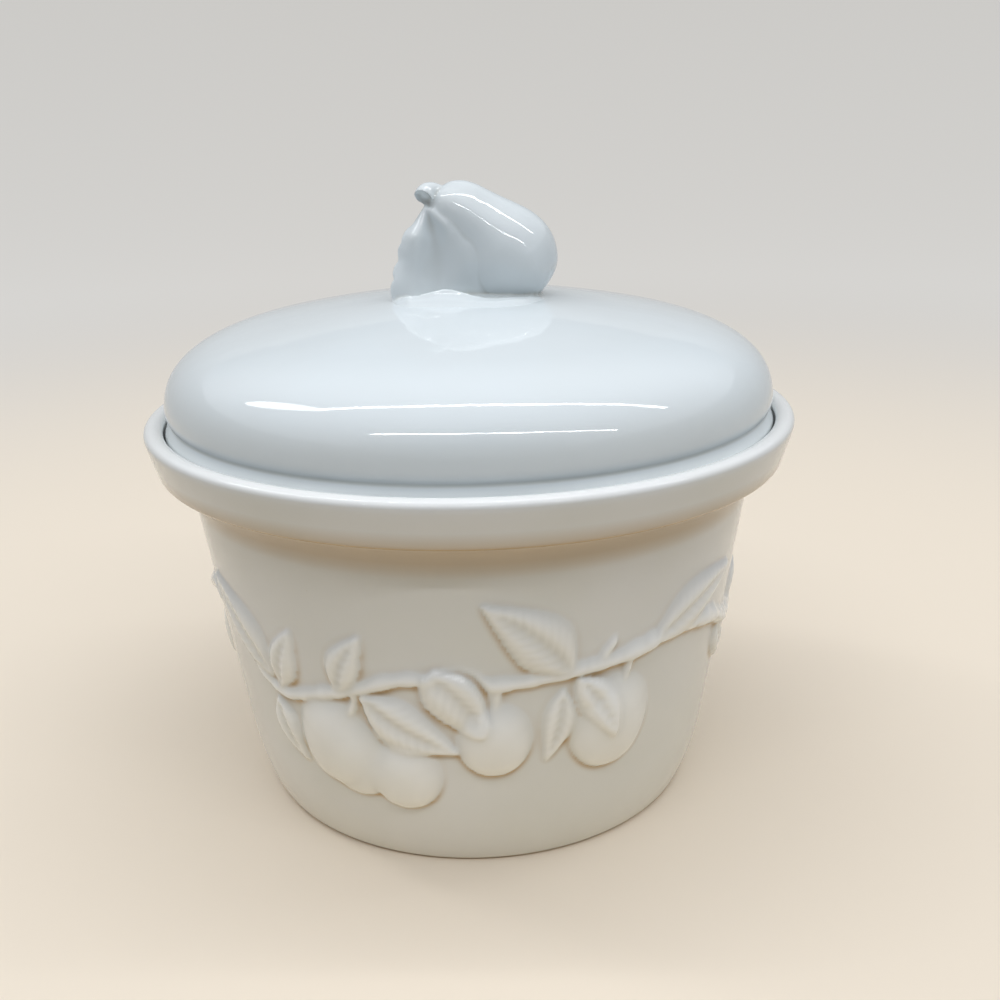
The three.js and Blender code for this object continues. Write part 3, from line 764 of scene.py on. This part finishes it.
BED_CURL = [
    (-18.4, 1.0), (-14.7, 1.1), (-11.5, 1.0), (-9.2, 1.6), (-7.0, 2.1), (-5.2, 2.5), (-3.8, 2.4),
    (-2.3, 2.1), (-0.8, 1.6), (0.8, 1.0), (2.3, 0.5), (4.0, 0.2), (19, 0.1),
]


def lay_grid(bm, steps_along, steps_across, place):
    """A grid with its points placed by their shares along and across. Returns its faces."""
    made = bmesh.ops.create_grid(bm, x_segments=steps_along, y_segments=steps_across, size=1)["verts"]
    for v in made:
        v.co = Vector(place((v.co.x + 1) / 2, v.co.y)) * MM
    bm.normal_update()
    return list({face for v in made for face in v.link_faces})


def add_hanging_leaf(bm):
    """The hanging leaf's grid, given thickness."""
    faces = lay_grid(bm, 110, 50, hanging_leaf_place)
    bmesh.ops.solidify(bm, geom=faces, thickness=SHEET_MM * MM)


def add_bed_leaf(bm):
    """The bed leaf's top, with its edge carried down into the dome."""
    faces = lay_grid(bm, 100, 90, bed_leaf_place)
    around = {edge for face in faces for edge in face.edges}
    grown = bmesh.ops.extrude_face_region(bm, geom=faces + list(around), use_keep_orig=True)["geom"]
    for v in [g for g in grown if isinstance(g, bmesh.types.BMVert)]:
        v.co.z = (dome_height(math.hypot(v.co.x, v.co.y) / MM) - BED_SUNK) * MM


def hanging_leaf_place(along, across):
    """A place on the hanging leaf. Its free half, where across is negative, has teeth."""
    if across < 0:
        across *= 1 - TOOTH_SHARE * (1 - abs(math.sin(math.pi * along * HANGING_TEETH))) * across**2
    return through([through(curve, along) for curve in HANGING_LEAF], (across + 1) / 2)


def bed_leaf_place(along, across):
    """The leaf proper ends at FILLET's share of the way out. Beyond it the glaze runs down to the dome."""
    x = BED_ASIDE + (0.5 - along) * BED_LONG
    inner, beyond = min(abs(across) / FILLET, 1), max(abs(across) - FILLET, 0) / (1 - FILLET)
    half = BED_WIDE / 2 * np.interp(along, *zip(*BED_OUTLINE))
    y = -BED_FORWARD + math.copysign(inner * half + beyond * FILLET_MM, across)
    rim = np.interp(x, *zip(*BED_CURL)) if across < 0 else 0.5 + 0.3 * math.sin(x * 0.7)
    out = inner - CREST
    if out < 0:
        roll = math.exp(-((out / CREST_WIDE) ** 2))
    else:
        roll = STEEP * math.exp(-out / STEEP_SPAN) + GENTLE * math.exp(-out / GENTLE_SPAN)
    curl = rim * roll - HOLLOW_DEEP * rim * math.exp(-(((inner - HOLLOW) / HOLLOW_WIDE) ** 2))
    lift = (BED_LIFT + curl) * (1 - beyond) ** FILLET_POWER - BED_SUNK * 0.6 * beyond
    ends = min(1, 8 * along, 8 * (1 - along))
    return x, y, float(dome_height(math.hypot(x, y))) + lift * ends - 0.3 * (1 - ends)


def add_stem(bm):
    """A tube along the stem's path, made by pushing its end face on step by step."""
    steps, sides = 24, 24
    start = Vector(STEM_PATH[0])
    way = (through(STEM_PATH, 0.02) - start).normalized()
    turn = way.to_track_quat("Z", "Y").to_matrix().to_4x4()
    made = bmesh.ops.create_circle(
        bm, cap_ends=True, segments=sides, radius=STEM_RADII[0] * MM,
        matrix=Matrix.Translation(start * MM) @ turn,
    )["verts"]
    cap = made[0].link_faces[0]
    far, last = start, way
    for i in range(1, steps + 1):
        share = i / steps
        point = through(STEM_PATH, share)
        way = (point - far).normalized()
        wide = np.interp(share * 4, range(5), STEM_RADII)
        size = wide / np.interp((share - 1 / steps) * 4, range(5), STEM_RADII)
        grown = bmesh.ops.extrude_face_region(bm, geom=[cap, *cap.edges])["geom"]
        ring = [g for g in grown if isinstance(g, bmesh.types.BMVert)]
        cap = next(g for g in grown if isinstance(g, bmesh.types.BMFace))
        bmesh.ops.translate(bm, verts=ring, vec=(point - far) * MM)
        bend = last.rotation_difference(way).to_matrix()
        bmesh.ops.rotate(bm, verts=ring, cent=point * MM, matrix=bend)
        bmesh.ops.scale(bm, verts=ring, vec=(size,) * 3, space=Matrix.Translation(-point * MM))
        far, last = point, way
    bmesh.ops.inset_individual(bm, faces=[cap], thickness=0.9 * MM, depth=-0.9 * MM)


print("bed leaf", BED_LONG, "by", BED_WIDE, "mm,", HANGING_TEETH, "teeth on the hanging leaf")

# %% [markdown]
# ## One handle out of four pieces
# The pieces were joined with slip, brushed over and glazed, so on the real lid they flow into each
# other with no seam. A voxel remesh fuses the four closed forms in the same way: it keeps the outer
# skin at a grid of 0.3 mm. Thumbs left it a little uneven, by a quarter of a mm, which
# makes the lamps' lines on it wavy. A few rounds of smoothing then stand for the glaze coat. The hollow
# places that are left take a darker colour, partly glaze that gathers and partly painted shade, and
# what stands out a lighter one, partly thinner glaze and partly a painted highlight.

# %% Fused handle
VOXEL_MM, SMOOTH_ROUNDS = 0.3, 5
UNEVEN_MM, UNEVEN_EVERY = 0.24, 6.5
POOL_AND_SHADE_ROUNDS, FULL_POOL_AND_SHADE_MM = 14, 0.9
bm = bmesh.new()
add_fruit(bm)
add_stem(bm)
add_hanging_leaf(bm)
add_bed_leaf(bm)
close_up(bm)
raw = to_piece(bm, "handle_raw", glaze_tinted_for_cool_light)
remesh = raw.modifiers.new("fuse", "REMESH")
remesh.mode = "VOXEL"
remesh.voxel_size = VOXEL_MM * MM
fused = bpy.data.meshes.new_from_object(raw.evaluated_get(bpy.context.evaluated_depsgraph_get()))
bpy.data.objects.remove(raw)
bm = bmesh.new()
bm.from_mesh(fused)
bm.normal_update()
for v in bm.verts:
    v.co += v.normal * (UNEVEN_MM * MM * noise.noise(v.co / (UNEVEN_EVERY * MM)))
for _ in range(SMOOTH_ROUNDS):
    bmesh.ops.smooth_vert(bm, verts=bm.verts, factor=0.5, use_axis_x=True, use_axis_y=True, use_axis_z=True)
handle = to_piece(bm, "glazed_handle", glaze_tinted_for_cool_light)
report(handle)


def hollowness(piece, rounds):
    """How far each point lies below the mean of its neighbours, spread over a few rounds, in mm."""
    points = points_of(piece)
    pairs = np.zeros(2 * len(piece.data.edges), np.int32)
    piece.data.edges.foreach_get("vertices", pairs)
    a, b = pairs.reshape(-1, 2).T
    count = np.bincount(np.concatenate([a, b]), minlength=len(points)).astype(float)[:, None]
    normals = np.zeros(3 * len(points), np.float32)
    piece.data.vertices.foreach_get("normal", normals)
    normals = normals.reshape(-1, 3)

    def neighbours(values):
        total = np.zeros_like(values)
        np.add.at(total, a, values[b])
        np.add.at(total, b, values[a])
        return total / count

    wide = points
    for _ in range(rounds):
        wide = neighbours(wide)
    return ((wide - points) * normals).sum(axis=1)


hollow_mm = hollowness(handle, POOL_AND_SHADE_ROUNDS)
print("hollowness from", round(float(hollow_mm.min()), 2), "to", round(float(hollow_mm.max()), 2), "mm")
# Darker in hollows as gathered glaze and painted shade, lighter on bumps as thinner glaze and painted
# highlight.
set_pool_and_shade(handle, PLAIN + hollow_mm / FULL_POOL_AND_SHADE_MM)
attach(handle, "lid")
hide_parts("finial_fruit", "finial_stem", "finial_bed_leaf", "finial_standing_leaf")

# %% [markdown]
# ## The studio
# A plain pale floor that curves up all round like a bowl, so that it looks the same from every side.
# Near the pot its colour is warm, as a wooden table's is, and throws warm light on the lower wall.
# Further off it is a pale grey to the eye and to mirrors, which the Light Path node tells apart, and
# partly shines by itself so that it stays pale up to the top, about half as much to mirrors. To all
# other light it is dim there, so that the rim's face, which looks out at the room, stays darker than
# its top, as it is in the photo.

# %% Floor
FLAT, BOWL, BOWL_TOP, BOWL_COLUMNS = 1000, 3000, 1300, 96
GLOW_SHARE, MIRROR_GLOW = 0.7, 0.45


def smooth_step(tree, value, low, high):
    """0 up to the low value, 1 from the high one on, and smooth in between."""
    limits = {"Value": value, "From Min": low, "From Max": high}
    return add(tree, "MapRange", limits, interpolation_type="SMOOTHSTEP")


floor_material, tree = new_material("plain pale studio floor")
place = add(tree, "TexCoord", out="Object")
reach = add(tree, "VectorMath", {"Vector": place}, out="Value", operation="LENGTH")
away = smooth_step(tree, reach, 0.2, 0.95)
shown = add(tree, "Mix", {"Factor": away, "A": card("#e6dbcb"), "B": card("#d0cecb")}, data_type="RGBA")
aside = smooth_step(tree, reach, 0.08, 0.44)
bounced = add(tree, "Mix", {"Factor": aside, "A": card("#f2e1c3"), "B": card("#5a5d60")}, data_type="RGBA")
by_eye = add(tree, "LightPath", out="Is Camera Ray")
by_mirror = add(tree, "LightPath", out="Is Glossy Ray")
through_glass = add(tree, "LightPath", out="Is Transmission Ray")
mirrored = add(tree, "Math", {0: by_mirror, 1: through_glass}, operation="MAXIMUM")
seen = add(tree, "Math", {0: by_eye, 1: mirrored}, operation="MAXIMUM")
paper = add(tree, "Mix", {"Factor": seen, "A": bounced, "B": shown}, data_type="RGBA")
matt = add(tree, "BsdfDiffuse", {"Color": paper})
pale = add(tree, "Emission", {"Color": card("#dfddd9"), "Strength": 1.0})
dimmed = add(tree, "Math", {0: mirrored, 1: MIRROR_GLOW}, operation="MULTIPLY")
glow = add(tree, "Math", {0: by_eye, 1: dimmed}, operation="MAXIMUM")
far_glow = add(tree, "MapRange", {"Value": away, "To Max": GLOW_SHARE})
share = add(tree, "Math", {0: glow, 1: far_glow}, operation="MULTIPLY")
surface = add(tree, "MixShader", {0: share, 1: matt, 2: pale})
add(tree, "OutputMaterial", {"Surface": surface})
floor_material.cycles.emission_sampling = "NONE"
bm = bmesh.new()
bowl = [(0, 0), (400, 0)] + full_curve([(FLAT, 0), (BOWL, 0), (BOWL, 1000)], 24) + [(BOWL, BOWL_TOP)]
spin(bm, bowl, BOWL_COLUMNS)
close_up(bm)
floor = to_piece(bm, "studio_floor", floor_material)
print("floor", 2 * BOWL * MM, "m across")

# %% [markdown]
# ## The light
# The photo has two long lamps overhead and a lens-shaped patch of light on the left. Where glaze
# mirrors a lamp, its slope, the eye and the lamp's place belong together, so the lines on the lid and
# on the handle's fruit tell where the lamps hang: one above the pot and one 0.8 m in front of it, both
# 1.1 m up. The room's own light is an arch of sky: bright overhead and to both sides, dim in front and
# behind. It has no edge that the glaze could mirror.

# %% Lights
def area_light(name, place, length, depth, watts, turned, shape="RECTANGLE"):
    """A lamp that hangs at a place, in metres, and shines straight down."""
    data = bpy.data.lights.new(name, "AREA")
    data.shape = shape
    data.size, data.size_y = length, depth
    data.energy = watts
    data.color = card("#fcfdff")[:3]
    lamp = bpy.data.objects.new(name, data)
    lamp.location = place
    lamp.rotation_euler = (0, 0, math.radians(turned))
    bpy.context.scene.collection.objects.link(lamp)


area_light("tube above", (0.28, 0.06, 1.1), length=1.9, depth=0.045, watts=4.4, turned=-3)
area_light("tube in front", (0.35, -0.82, 1.1), length=2.1, depth=0.035, watts=7.6, turned=-5)
area_light("lens left", (-0.93, 0.31, 1.1), 0.75, 0.2, watts=2.2, turned=-36, shape="ELLIPSE")
ROOM_LIGHT, LOW_SKY, HIGH_SKY, SIDEWAYS = 0.97, 0.58, 1.02, 1.2
world = bpy.data.worlds.new("room")
world.use_nodes = True
sky = world.node_tree
sky.nodes.clear()
way = add(sky, "TexCoord", out="Generated")
arch = add(sky, "VectorMath", {0: way, 1: (SIDEWAYS, 0, 1)}, operation="MULTIPLY")
rise = add(sky, "VectorMath", {"Vector": arch}, out="Value", operation="LENGTH")
bright = smooth_step(sky, rise, LOW_SKY, HIGH_SKY)
tone = add(sky, "Mix", {"Factor": bright, "A": card("#75797c"), "B": card("#f5f7fa")}, data_type="RGBA")
lit = add(sky, "Background", {"Color": tone, "Strength": ROOM_LIGHT})
add(sky, "OutputWorld", {"Surface": lit})
bpy.context.scene.world = world
bpy.context.scene.view_settings.view_transform = "Standard"
